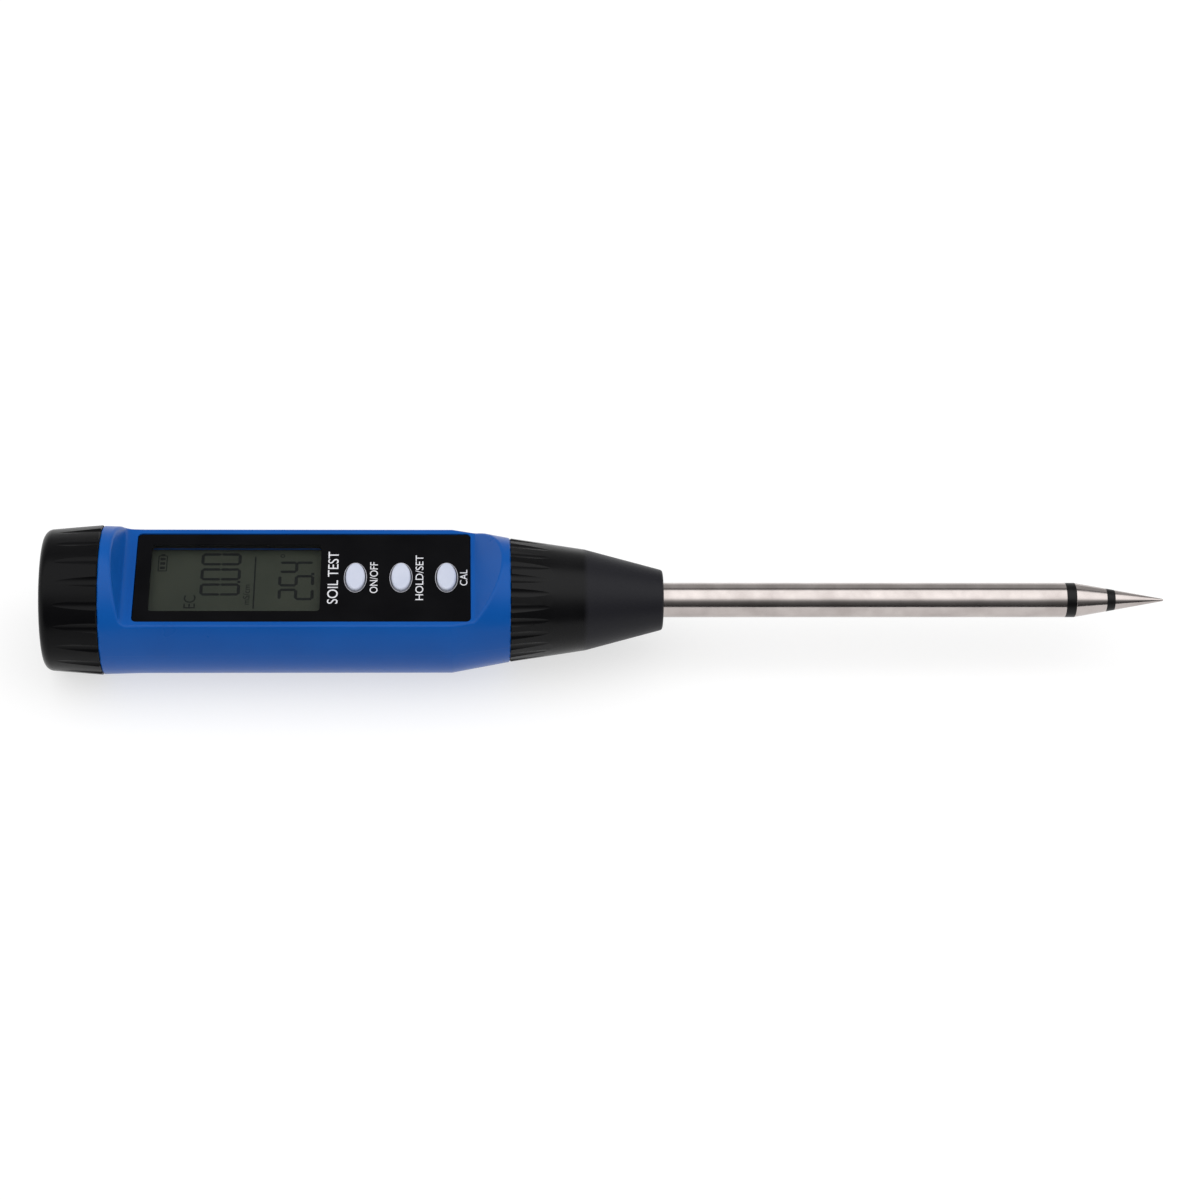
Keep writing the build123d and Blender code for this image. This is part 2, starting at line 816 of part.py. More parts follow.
with BuildPart() as board_screws:
    with BuildSketch(flat(board_top)):
        with Locations(screw_places):
            Circle(board_screw_head)
    extrude(amount=board_screw_head_height)
    fillet(board_screws.edges().group_by(Axis.Z)[-1], board_screw_head_height / 3)
    with BuildSketch(flat(board_top)):
        with Locations(screw_places):
            Circle(board_screw_radius)
    extrude(amount=-board_screw_length)
save(board_screws.part, "board_screws")

frame_inner = 2 * lcd_frame_gap
with BuildPart() as lcd_frame:
    with BuildSketch(flat(board_top, window_mid_x)):
        Rectangle(
            lcd_length + frame_inner + 2 * lcd_frame_wall, lcd_width + frame_inner + 2 * lcd_frame_wall
        )
        Rectangle(
            lcd_length - 2 * zebra_width,
            lcd_width - 2 * zebra_inset + frame_inner,
            mode=Mode.SUBTRACT,
        )
    extrude(amount=lcd_top - board_top)
    with BuildSketch(flat(lcd_bottom, window_mid_x)):
        Rectangle(lcd_length + frame_inner, lcd_width + frame_inner)
    extrude(amount=lcd_thickness, mode=Mode.SUBTRACT)
save(lcd_frame.part, "lcd_frame")

with BuildPart() as lcd:
    with BuildSketch(flat(lcd_bottom, window_mid_x)):
        Rectangle(lcd_length, lcd_width)
    extrude(amount=lcd_thickness)
    chamfer(lcd.edges().filter_by(Axis.Z), zebra_inset / 2)
save(lcd.part, "lcd")

with BuildPart() as zebra_strips:
    with BuildSketch(flat(board_top, window_mid_x)):
        with GridLocations(1, lcd_width - 2 * zebra_inset - zebra_width, 1, 2):
            Rectangle(lcd_length - 3 * zebra_width, zebra_width)
    extrude(amount=zebra_height)
save(zebra_strips.part, "zebra_strips")


def chip(name, x, y, size, height):
    with BuildPart() as body:
        with BuildSketch(flat(board_top, x, y)):
            Rectangle(size, size)
        extrude(amount=height)
        chamfer(body.faces().sort_by(Axis.Z)[-1].edges(), height / 6)
    save(body.part, name)


chip_spread = window_length / 4
chip("controller_chip", window_mid_x - chip_spread, 0, chip_size, chip_height)
chip("measuring_chip", window_mid_x + chip_spread, 0, small_chip_size, chip_height)

with BuildPart() as crystal:
    with BuildSketch(section(window_mid_x - crystal_length / 2, board_top + crystal_radius / 2)):
        Rectangle(2 * crystal_radius, crystal_radius)
    extrude(amount=crystal_length)
    fillet(crystal.edges().filter_by(Axis.X).group_by(Axis.Z)[-1], crystal_radius / 2.5)
save(crystal.part, "crystal")

with BuildPart() as small_components:
    with BuildSketch(flat(board_top, window_mid_x)):
        with GridLocations(crystal_length, chip_size + 4 * passive_width, 5, 2):
            Rectangle(passive_length, passive_width)
    extrude(amount=passive_height)
save(small_components.part, "small_components")

connector_x = board_front_x - connector_length
with BuildPart() as probe_connector:
    with BuildSketch(flat(board_top, connector_x + connector_length / 2)):
        Rectangle(connector_length, connector_width)
    extrude(amount=connector_height)
    chamfer(probe_connector.faces().sort_by(Axis.Z)[-1].edges(), connector_height / 8)
save(probe_connector.part, "probe_connector")

# ================================================================ nose
with BuildPart() as nose_cone:
    spigot_x = nose_x - end_wall_thickness + seam_gap
    groove_x = nose_x - nose_ring_offset - nose_ring_section
    with BuildSketch(side_view):
        with BuildLine():
            Polyline(
                (nose_x, nose_x_radius),
                (knee_x, knee_radius),
                (nose_end_x, nose_end_radius),
                (nose_end_x, shank_radius + tube_bond_gap),
                (block_x, shank_radius + tube_bond_gap),
                (block_x, nose_bore_radius),
                (spigot_x, nose_bore_radius),
                (spigot_x, spigot_radius),
                (groove_x, spigot_radius),
                (groove_x, spigot_radius - nose_ring_groove),
                (groove_x + nose_ring_section, spigot_radius - nose_ring_groove),
                (groove_x + nose_ring_section, spigot_radius),
                (nose_x, spigot_radius),
                close=True,
            )
        make_face()
    revolve(axis=centre_line)
    rounds = nose_cone.edges().filter_by(GeomType.CIRCLE)
    fillet(
        rounds.filter_by(lambda e: abs(e.radius - nose_end_radius) < 0.01),
        nose_end_fillet,
    )
    chamfer(
        rounds.filter_by(lambda e: abs(e.radius - nose_x_radius) < 0.01),
        edge_break,
    )
    flute_end_x = nose_x + nose_flute_fade
    flute_end_radius = nose_x_radius - nose_flute_fade * tan(radians(nose_back_taper))
    cut_flutes(
        flute(nose_x, nose_x_radius, flute_end_x, flute_end_radius, nose_flute_depth),
        nose_flute_count,
    )
save(nose_cone.part, "nose_cone")

with BuildPart() as nose_o_ring:
    # squeezed to the groove it fills
    with BuildSketch(side_view):
        with Locations((groove_x + nose_ring_section / 2, spigot_radius - nose_ring_groove / 2)):
            RectangleRounded(nose_ring_section, nose_ring_groove, nose_ring_groove / 3)
    revolve(axis=centre_line)
save(nose_o_ring.part, "nose_o_ring")

# ================================================================ probe
with BuildPart() as probe_tube:
    with BuildSketch(section(tube_x)):
        Circle(shank_radius)
    extrude(amount=nose_end_x - tube_x)
    with BuildSketch(section(nose_end_x)):
        Circle(probe_radius)
    extrude(amount=rear_ring_x - nose_end_x)
    with BuildSketch(section(tube_x)):
        Circle(tube_bore_radius)
    extrude(amount=rear_ring_x - tube_x, mode=Mode.SUBTRACT)
save(probe_tube.part, "probe_tube")

with BuildPart() as probe_collar:
    with BuildSketch(section(block_x - collar_length)):
        Circle(collar_radius)
        Circle(shank_radius, mode=Mode.SUBTRACT)
    extrude(amount=collar_length)
    rounds = probe_collar.edges().filter_by(GeomType.CIRCLE)
    chamfer(rounds.filter_by(lambda e: e.radius > probe_radius + edge_break), edge_break)
save(probe_collar.part, "probe_collar")

with BuildPart() as rear_insulator:
    with BuildSketch(section(rear_ring_x)):
        Circle(probe_radius)
        Circle(ring_spigot_radius, mode=Mode.SUBTRACT)
    extrude(amount=rear_ring_width)
    with BuildSketch(section(rear_ring_x)):
        Circle(tube_bore_radius)
        Circle(ring_spigot_radius, mode=Mode.SUBTRACT)
    extrude(amount=-insulator_tail)
save(rear_insulator.part, "rear_insulator")

ring_end_radius = cone_radius(front_ring_x)
with BuildPart() as ring_electrode:
    with BuildSketch(side_view):
        with BuildLine():
            Polyline(
                (ring_electrode_x - rear_ring_width - ring_tail, inner_sleeve_radius),
                (ring_electrode_x - rear_ring_width - ring_tail, ring_spigot_radius),
                (ring_electrode_x, ring_spigot_radius),
                (ring_electrode_x, probe_radius),
                (front_ring_x, ring_end_radius),
                (front_ring_x, inner_sleeve_radius),
                close=True,
            )
        make_face()
    revolve(axis=centre_line)
    chamfer(
        ring_electrode.edges()
        .filter_by(GeomType.CIRCLE)
        .filter_by(lambda e: abs(e.radius - probe_radius) < 0.01),
        electrode_chamfer,
    )
save(ring_electrode.part, "ring_electrode")

with BuildPart() as front_insulator:
    with BuildSketch(side_view):
        with BuildLine():
            Polyline(
                (front_ring_x, stem_radius),
                (front_ring_x, ring_end_radius),
                (tip_x, cone_radius(tip_x)),
                (tip_x, stem_radius),
                close=True,
            )
        make_face()
    revolve(axis=centre_line)
save(front_insulator.part, "front_insulator")

with BuildPart() as tip_electrode:
    with BuildSketch(side_view):
        with BuildLine():
            Polyline(
                (stem_end_x, 0),
                (stem_end_x, stem_radius),
                (tip_x, stem_radius),
                (tip_x, cone_radius(tip_x)),
                (point_x - tip_point_radius, tip_point_radius),
            )
            RadiusArc((point_x - tip_point_radius, tip_point_radius), (point_x, 0), tip_point_radius)
            Line((point_x, 0), (stem_end_x, 0))
        make_face()
    revolve(axis=centre_line)
save(tip_electrode.part, "tip_electrode")

with BuildPart() as inner_sleeve:
    with BuildSketch(section(insulator_tail_x)):
        Circle(inner_sleeve_radius)
        Circle(stem_radius, mode=Mode.SUBTRACT)
    extrude(amount=front_ring_x - insulator_tail_x)
save(inner_sleeve.part, "inner_sleeve")

with BuildPart() as thermistor:
    thermistor_x = stem_end_x - thermistor_gap - thermistor_length
    with BuildSketch(section(thermistor_x, thermistor_level)):
        Circle(thermistor_radius)
    extrude(amount=thermistor_length)
    fillet(thermistor.edges().group_by(Axis.X)[-1], thermistor_radius / 2)
save(thermistor.part, "thermistor")

with BuildPart() as sensor_leads:
    lead_start_x = connector_x + connector_length
    lead_end_x = insulator_tail_x - lead_end_gap
    connector_level = board_top + connector_height / 2
    for n in range(lead_count):
        y = (n - (lead_count - 1) / 2) * lead_pitch
        with BuildLine():
            route = FilletPolyline(
                (lead_start_x, y, axis_height + connector_level),
                (lead_start_x + lead_straight, y, axis_height + connector_level),
                (tube_x - lead_straight, y, axis_height + lead_level),
                (lead_end_x, y, axis_height + lead_level),
                radius=lead_bend_radius,
            )
        with BuildSketch(section(lead_start_x, connector_level, y)):
            Circle(lead_radius)
        sweep(path=route)
save(sensor_leads.part, "sensor_leads")

print(f"length {total_length:.2f}, centre line {axis_height:.2f} above the surface")
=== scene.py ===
import json
from math import cos, pi, radians, sin

import bpy
from mathutils import Matrix, Vector


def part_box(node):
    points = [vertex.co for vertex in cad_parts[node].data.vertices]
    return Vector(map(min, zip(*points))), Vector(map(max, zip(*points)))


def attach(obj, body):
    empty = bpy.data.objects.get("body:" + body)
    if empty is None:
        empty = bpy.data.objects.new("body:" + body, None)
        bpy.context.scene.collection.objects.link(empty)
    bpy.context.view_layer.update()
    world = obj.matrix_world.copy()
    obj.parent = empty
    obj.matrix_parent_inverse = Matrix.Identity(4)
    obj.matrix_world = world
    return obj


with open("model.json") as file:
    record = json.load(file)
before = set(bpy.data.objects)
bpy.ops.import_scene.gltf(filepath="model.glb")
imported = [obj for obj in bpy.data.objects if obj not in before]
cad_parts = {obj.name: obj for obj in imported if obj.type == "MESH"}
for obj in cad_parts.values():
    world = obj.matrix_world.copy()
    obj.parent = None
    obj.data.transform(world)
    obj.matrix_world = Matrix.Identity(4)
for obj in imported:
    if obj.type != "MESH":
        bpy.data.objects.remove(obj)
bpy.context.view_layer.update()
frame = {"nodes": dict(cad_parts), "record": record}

# Soil probe meter: moulded handle, printed face, LCD, push keys and a steel probe.
mm = 0.001
nodes = frame["nodes"]
print("frame loaded:", len(nodes), "nodes")

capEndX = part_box("battery_cap")[0].x
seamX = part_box("housing")[1].x  # seam between housing and nose
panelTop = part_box("front_panel")[1].z
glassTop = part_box("lcd")[1].z
tubeLow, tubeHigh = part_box("probe_tube")
axisHeight = (tubeLow.z + tubeHigh.z) / 2
keyCentres = {}
for keyName in ("power", "hold", "cal"):
    keyLow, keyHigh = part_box(keyName + "_key")
    keyCentres[keyName] = (keyLow + keyHigh) / 2


# small helpers for modelling
def deselectAll():
    if bpy.context.object and bpy.context.object.mode != "OBJECT":
        bpy.ops.object.mode_set(mode="OBJECT")
    bpy.ops.object.select_all(action="DESELECT")


def setActive(piece):
    deselectAll()
    piece.select_set(True)
    bpy.context.view_layer.objects.active = piece


def applyPlace(piece):
    setActive(piece)
    bpy.ops.object.transform_apply(location=True, rotation=True, scale=True)


def applyModifier(piece, kind, **settings):
    setActive(piece)
    modifier = piece.modifiers.new(kind.title(), kind)
    for name, value in settings.items():
        setattr(modifier, name, value)
    bpy.ops.object.modifier_apply(modifier=modifier.name)


def joinPieces(pieces, name):
    deselectAll()
    for piece in pieces:
        piece.select_set(True)
    bpy.context.view_layer.objects.active = pieces[0]
    bpy.ops.object.join()
    joined = bpy.context.object
    joined.name = name
    joined.data.name = name
    return joined


def copyPiece(piece):
    twin = piece.copy()
    twin.data = piece.data.copy()
    bpy.context.scene.collection.objects.link(twin)
    return twin


def finishPiece(piece, material, body):
    applyPlace(piece)
    piece.data.materials.clear()
    piece.data.materials.append(material)
    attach(piece, body)
    return piece


# colours and nodes
def srgb(code):
    parts = [int(code[i:i + 2], 16) / 255 for i in (1, 3, 5)]
    linear = [c / 12.92 if c <= 0.04045 else ((c + 0.055) / 1.055) ** 2.4 for c in parts]
    return (*linear, 1.0)


def addNode(tree, kind, settings=None, **links):
    node = tree.nodes.new(kind)
    for name, value in (settings or {}).items():
        setattr(node, name, value)
    for name, value in links.items():
        byNumber = name[0] == "i" and name[1:].isdigit()  # i0 is the node's first input
        socket = node.inputs[int(name[1:]) if byNumber else name]
        if isinstance(value, bpy.types.NodeSocket):
            tree.links.new(value, socket)
        else:
            socket.default_value = value
    return node


def startMaterial(name, **sockets):  # sockets are the shader's inputs, with _ for a space
    material = bpy.data.materials.new(name)
    material.use_nodes = True
    tree = material.node_tree
    shader = tree.nodes["Principled BSDF"]
    for socket, value in sockets.items():
        shader.inputs[socket.replace("_", " ")].default_value = value
    place = addNode(tree, "ShaderNodeTexCoord").outputs["Object"]
    return material, tree, shader, place


def perMetre(size):  # noise scale that gives marks about this many mm across
    return 1 / (size * mm)


cloudRange = (0.3, 0.7)  # most of a noise texture's values lie between these


def mottle(tree, shader, place, size, dark, light, lowRough, highRough):
    # slow change of tone and gloss over the surface, in patches about size mm across
    cloud = addNode(
        tree, "ShaderNodeTexNoise", None, Vector=place, Scale=perMetre(size), Detail=4.0
    )
    tone = addNode(tree, "ShaderNodeValToRGB", None, Fac=cloud.outputs["Fac"])
    tone.color_ramp.elements[0].position = cloudRange[0]
    tone.color_ramp.elements[0].color = srgb(dark)
    tone.color_ramp.elements[1].position = cloudRange[1]
    tone.color_ramp.elements[1].color = srgb(light)
    tree.links.new(tone.outputs["Color"], shader.inputs["Base Color"])
    gloss = addNode(
        tree, "ShaderNodeMapRange", None,
        Value=cloud.outputs["Fac"], i1=cloudRange[0], i2=cloudRange[1], i3=lowRough, i4=highRough,
    )
    tree.links.new(gloss.outputs["Result"], shader.inputs["Roughness"])
    return tone, gloss


def grain(tree, shader, place, size, depth):
    # fine surface relief, size and depth in mm: real moulded grain is nearer 0.1 mm across, and is
    # drawn this coarse so that it shows
    marks = addNode(
        tree, "ShaderNodeTexNoise", None, Vector=place, Scale=perMetre(size), Detail=3.0
    )
    relief = addNode(
        tree, "ShaderNodeBump", None,
        Height=marks.outputs["Fac"], Distance=depth * mm, Strength=1.0,
    )
    tree.links.new(relief.outputs["Normal"], shader.inputs["Normal"])
    return relief


# the line where the two halves of the housing's mould met
mouldLine = {"halfWidth": 0.09 * mm, "height": 0.03 * mm, "strength": 0.6}


def blueAbs():
    # ABS moulded in a lightly textured tool: saturated blue with a broad soft shine
    material, tree, shader, place = startMaterial(
        "blue_moulded_abs", IOR=1.53, Specular_IOR_Level=0.13
    )
    mottle(
        tree, shader, place, size=22, dark="#094D9B", light="#0B54A5",
        lowRough=0.26, highRough=0.34,
    )
    relief = grain(tree, shader, place, size=0.35, depth=0.008)
    # the mould line is level with the centre line
    axes = addNode(tree, "ShaderNodeSeparateXYZ", None, Vector=place)
    offset = addNode(
        tree, "ShaderNodeMath", {"operation": "SUBTRACT"}, i0=axes.outputs["Z"], i1=axisHeight
    )
    distance = addNode(tree, "ShaderNodeMath", {"operation": "ABSOLUTE"}, i0=offset.outputs[0])
    line = addNode(
        tree, "ShaderNodeMapRange", None,
        Value=distance.outputs[0], i1=0.0, i2=mouldLine["halfWidth"], i3=1.0, i4=0.0,
    )
    seam = addNode(
        tree, "ShaderNodeBump", None,
        Height=line.outputs["Result"], Distance=mouldLine["height"], Strength=mouldLine["strength"],
        Normal=relief.outputs["Normal"],
    )
    tree.links.new(seam.outputs["Normal"], shader.inputs["Normal"])
    return material


# the plain front of the nose, ahead of the knee where its taper changes
noseFront = {
    "kneeX": seamX + 17.2 * mm, "blend": 0.6 * mm,  # the two textures meet over this much each way
    # colour is the front's greyer base, painted sheen; rougher, speckle and depth give its real
    # duller texture
    "colour": "#1A1A1F", "rougher": 0.16,
    "speckle": 0.5,  # marks this many mm across
    "depth": 0.03 * mm,
}


def blackAbs(name, shine, dullFront=None):
    # black ABS, spark-eroded tool: near black, dull, with a soft sheen on the ribs
    material, tree, shader, place = startMaterial(name, IOR=1.53, Specular_IOR_Level=shine)
    tone, gloss = mottle(
        tree, shader, place, size=14, dark="#060607", light="#09090B",
        lowRough=0.24, highRough=0.33,
    )
    relief = grain(tree, shader, place, size=0.3, depth=0.008)
    if dullFront:
        # ahead of the knee the nose has a coarser, duller texture than the ribbed part; its greyer
        # base colour there is painted sheen
        axes = addNode(tree, "ShaderNodeSeparateXYZ", None, Vector=place)
        front = addNode(
            tree, "ShaderNodeMapRange", None,
            Value=axes.outputs["X"], i1=dullFront["kneeX"] - dullFront["blend"],
            i2=dullFront["kneeX"] + dullFront["blend"], i3=0.0, i4=1.0,
        )
        duller = addNode(
            tree, "ShaderNodeMath", {"operation": "MULTIPLY_ADD"},
            i0=front.outputs["Result"], i1=dullFront["rougher"], i2=gloss.outputs["Result"],
        )
        tree.links.new(duller.outputs[0], shader.inputs["Roughness"])
        paintedSheenGrey = addNode(
            tree, "ShaderNodeMix", {"data_type": "RGBA"},
            i0=front.outputs["Result"], i6=tone.outputs["Color"], i7=srgb(dullFront["colour"]),
        )
        tree.links.new(paintedSheenGrey.outputs["Result"], shader.inputs["Base Color"])
        speckle = addNode(
            tree, "ShaderNodeTexNoise", None,
            Vector=place, Scale=perMetre(dullFront["speckle"]), Detail=2.0,
        )
        coarse = addNode(
            tree, "ShaderNodeMath", {"operation": "MULTIPLY"},
            i0=speckle.outputs["Fac"], i1=front.outputs["Result"],
        )
        second = addNode(
            tree, "ShaderNodeBump", None,
            Height=coarse.outputs[0], Distance=dullFront["depth"], Strength=1.0,
            Normal=relief.outputs["Normal"],
        )
        tree.links.new(second.outputs["Normal"], shader.inputs["Normal"])
    return material


def printedPolycarbonate():
    # polycarbonate overlay, black ink on the back: deep black under a fine velvet skin that kills
    # most of the sheet's shine
    material, tree, shader, place = startMaterial(
        "black_printed_polycarbonate", IOR=1.58, Specular_IOR_Level=0.05,
        Coat_Weight=0.03, Coat_Roughness=0.05,
    )
    mottle(
        tree, shader, place, size=9, dark="#0A0A0C", light="#0E0E10",
        lowRough=0.15, highRough=0.21,
    )
    grain(tree, shader, place, size=1.1, depth=0.0015)
    return material


def clearPolycarbonate():
    # clear hard-coated sheet: nearly invisible, a faint grey cast and a clean shine
    material, tree, shader, place = startMaterial(
        "clear_polycarbonate", Base_Color=srgb("#1C1E1C"), IOR=1.58, Alpha=0.12,
        Coat_Weight=1.0, Coat_Roughness=0.03,
    )
    cloud = addNode(tree, "ShaderNodeTexNoise", None, Vector=place, Scale=perMetre(8), Detail=2.0)
    gloss = addNode(tree, "ShaderNodeMapRange", None, Value=cloud.outputs["Fac"], i3=0.03, i4=0.1)
    tree.links.new(gloss.outputs["Result"], shader.inputs["Roughness"])
    return material


def lcdGlass():
    # reflective twisted-nematic glass: a flat grey-green behind a matt polariser
    material, tree, shader, place = startMaterial(
        "lcd_polariser_glass", IOR=1.5, Specular_IOR_Level=0.2
    )
    mottle(
        tree, shader, place, size=12, dark="#343A31", light="#3B4036",
        lowRough=0.38, highRough=0.5,
    )
    grain(tree, shader, place, size=0.25, depth=0.001)
    return material


def lcdSegment():
    # energised liquid crystal: dark blue-grey, never full black
    material, tree, shader, place = startMaterial(
        "lcd_dark_segment", IOR=1.5, Specular_IOR_Level=0.1
    )
    mottle(
        tree, shader, place, size=3, dark="#101315", light="#171A1C",
        lowRough=0.45, highRough=0.55,
    )
    return material


def whiteInk():
    # screen-printed white ink: opaque, slightly uneven, dull
    material, tree, shader, place = startMaterial(
        "white_screen_ink", IOR=1.48, Specular_IOR_Level=0.3
    )
    mottle(
        tree, shader, place, size=0.6, dark="#D2D2D8", light="#E6E6EA",
        lowRough=0.45, highRough=0.6,
    )
    grain(tree, shader, place, size=0.15, depth=0.002)
    return material


def keyRingGrey():
    # light grey rings round the keys, darker than the white lettering
    material, tree, shader, place = startMaterial(
        "key_ring_grey", IOR=1.48, Specular_IOR_Level=0.3
    )
    mottle(
        tree, shader, place, size=0.6, dark="#A2A2AA", light="#BABAC2",
        lowRough=0.45, highRough=0.6,
    )
    return material


def keyAbs():
    # white ABS push key: cool white, polished crown
    material, tree, shader, place = startMaterial(
        "white_key_abs", IOR=1.53, Specular_IOR_Level=0.4
    )
    mottle(
        tree, shader, place, size=4, dark="#C2C8DA", light="#CACFDF",
        lowRough=0.26, highRough=0.34,
    )
    grain(tree, shader, place, size=0.3, depth=0.002)
    return material


# faint lines left along the tube by polishing: the real ones are finer, and are drawn this coarse
# so that they show
polishLines = {"spacing": 0.25, "stretch": 0.012, "depth": 0.004 * mm, "strength": 0.5}


def groundStainless(name, dark, light, lowRough, highRough, patch):
    # stainless, ground and polished: bright bands, a little uneven, with faint lines along it
    material, tree, shader, place = startMaterial(name, Metallic=1.0)
    stretch = addNode(tree, "ShaderNodeMapping", None, Vector=place)
    stretch.inputs["Scale"].default_value = (polishLines["stretch"], 1.0, 1.0)
    lines = addNode(
        tree, "ShaderNodeTexNoise", None,
        Vector=stretch.outputs["Vector"], Scale=perMetre(polishLines["spacing"]), Detail=5.0,
    )
    cloud = addNode(tree, "ShaderNodeTexNoise", None, Vector=place, Scale=perMetre(patch), Detail=3.0)
    tone = addNode(tree, "ShaderNodeValToRGB", None, Fac=cloud.outputs["Fac"])
    tone.color_ramp.elements[0].position = cloudRange[0]
    tone.color_ramp.elements[0].color = srgb(dark)
    tone.color_ramp.elements[1].position = cloudRange[1]
    tone.color_ramp.elements[1].color = srgb(light)
    tree.links.new(tone.outputs["Color"], shader.inputs["Base Color"])
    gloss = addNode(
        tree, "ShaderNodeMapRange", None,
        Value=lines.outputs["Fac"], i1=cloudRange[0], i2=cloudRange[1], i3=lowRough, i4=highRough,
    )
    tree.links.new(gloss.outputs["Result"], shader.inputs["Roughness"])
    relief = addNode(
        tree, "ShaderNodeBump", None,
        Height=lines.outputs["Fac"], Distance=polishLines["depth"],
        Strength=polishLines["strength"],
    )
    tree.links.new(relief.outputs["Normal"], shader.inputs["Normal"])
    return material


def plainMetal(name, dark, light, lowRough, highRough, size):
    # small plated or drawn metal parts inside
    material, tree, shader, place = startMaterial(name, Metallic=1.0)
    mottle(tree, shader, place, size, dark, light, lowRough, highRough)
    grain(tree, shader, place, size=0.2, depth=0.002)
    return material


def plainMoulding(name, dark, light, lowRough, highRough, size):
    # small moulded, rubber or laminated parts
    material, tree, shader, place = startMaterial(name, IOR=1.5, Specular_IOR_Level=0.2)
    mottle(tree, shader, place, size, dark, light, lowRough, highRough)
    grain(tree, shader, place, size=0.3, depth=0.006)
    return material


# the metals and plain mouldings take their dark and light tones, their lowest and highest roughness
# and the size in mm of the patches in them
finishes = {
    "blue_abs": blueAbs(),
    "black_abs": blackAbs("black_moulded_abs", 0.08),
    "black_panel": printedPolycarbonate(),
    "key_plastic": keyAbs(),
    "clear_window": clearPolycarbonate(),
    "display_glass": lcdGlass(),
    "stainless": groundStainless("ground_stainless", "#A9A19E", "#C2BAB7", 0.1, 0.17, 7),
    "spring_steel": plainMetal("drawn_spring_steel", "#8E8E90", "#A2A2A4", 0.25, 0.35, 2),
    "nickel": plainMetal("nickel_plate", "#B9B5AC", "#C8C4BB", 0.16, 0.26, 3),
    "brass": plainMetal("bright_brass", "#B79A4E", "#C9AC5E", 0.22, 0.32, 3),
    "seal_rubber": plainMoulding("nitrile_rubber", "#0E0E0E", "#151515", 0.55, 0.7, 2),
    "adhesive_tape": plainMoulding("acrylic_foam_tape", "#1A1A1A", "#242424", 0.7, 0.85, 2),
    "black_insulator": plainMoulding("black_acetal", "#070708", "#0C0C0D", 0.3, 0.4, 3),
    "white_nylon": plainMoulding("white_nylon", "#CFCFC8", "#DADAD4", 0.42, 0.55, 5),
    "green_board": plainMoulding("green_solder_mask", "#0C4A24", "#10562B", 0.3, 0.42, 4),
    "black_epoxy": plainMoulding("black_moulded_epoxy", "#17171A", "#1E1E21", 0.5, 0.62, 2),
    "lead_insulation": plainMoulding("red_pvc_insulation", "#8C1A14", "#9E2018", 0.36, 0.46, 2),
}
noseFinish = blackAbs("black_moulded_abs_nose", 0.14, noseFront)
segmentFinish = lcdSegment()
inkFinish = whiteInk()
ringFinish = keyRingGrey()

for entry in frame["record"]["subparts"]:
    node = nodes[entry["node"]]
    material = noseFinish if entry["node"] == "nose_cone" else finishes[entry["material_slot"]]
    node.data.materials.clear()
    node.data.materials.append(material)


# LCD segments
lcdSet = {
    "edgeFromKey": 46.5 * mm,  # from the power key back to the cap end of the display area
    "stroke": 0.72 * mm,
    "thickness": 0.02 * mm,
    "lift": 0.01 * mm,
    "segmentGap": 0.14 * mm,
    "pointed": 0.26 * mm,
    # x is from the cap end of the display area, y is across from the centre line
    "upper": {"text": "000", "point": 0, "x": 11.0 * mm, "y": -3.2 * mm, "height": 9.2 * mm,
              "width": 3.7 * mm, "pitch": 4.6 * mm},
    "lower": {"text": "254", "point": 1, "x": 28.8 * mm, "y": -4.6 * mm, "height": 8.2 * mm,
              "width": 3.5 * mm, "pitch": 4.15 * mm},
}
litSegments = {"0": "abcdef", "2": "abged", "4": "fgbc", "5": "afgcd"}
lcdTop = glassTop + lcdSet["lift"]
lcdEdge = keyCentres["power"].x - lcdSet["edgeFromKey"]


def makeBar(length, stroke, pointed):
    # one flat mark along X with its corners cut back
    deselectAll()
    bpy.ops.mesh.primitive_cube_add(size=1.0, location=(0, 0, 0))
    bar = bpy.context.object
    bar.scale = (length, stroke, lcdSet["thickness"])
    applyPlace(bar)
    bpy.ops.object.mode_set(mode="EDIT")
    bpy.ops.mesh.select_mode(type="EDGE")
    bpy.ops.mesh.select_all(action="DESELECT")
    bpy.ops.object.mode_set(mode="OBJECT")
    for edge in bar.data.edges:
        a, b = (bar.data.vertices[i].co for i in edge.vertices)
        edge.select = abs(a.z - b.z) > lcdSet["thickness"] / 2
    bpy.ops.object.mode_set(mode="EDIT")
    bpy.ops.mesh.bevel(offset=pointed, segments=1, affect="EDGES")
    bpy.ops.object.mode_set(mode="OBJECT")
    return bar


def makeRing(outerX, outerY, line, thickness):
    # flat oval line
    deselectAll()
    bpy.ops.mesh.primitive_circle_add(vertices=96, radius=1.0, location=(0, 0, 0))
    ring = bpy.context.object
    ring.scale = (outerX, outerY, 1.0)
    applyPlace(ring)
    bpy.ops.object.mode_set(mode="EDIT")
    bpy.ops.mesh.select_all(action="SELECT")
    bpy.ops.mesh.extrude_edges_move()
    bpy.ops.transform.resize(value=(1 - line / outerX, 1 - line / outerY, 1.0))
    bpy.ops.mesh.select_all(action="SELECT")
    bpy.ops.mesh.normals_make_consistent(inside=False)
    bpy.ops.object.mode_set(mode="OBJECT")
    applyModifier(ring, "SOLIDIFY", thickness=thickness, offset=0.0)
    return ring


def placeOnLcd(piece, across, down, turn=0.0):
    # across runs along +Y, down runs along +X, as the display is read
    piece.matrix_world = Matrix.Translation((down, across, lcdTop)) @ Matrix.Rotation(turn, 4, "Z")
    return piece


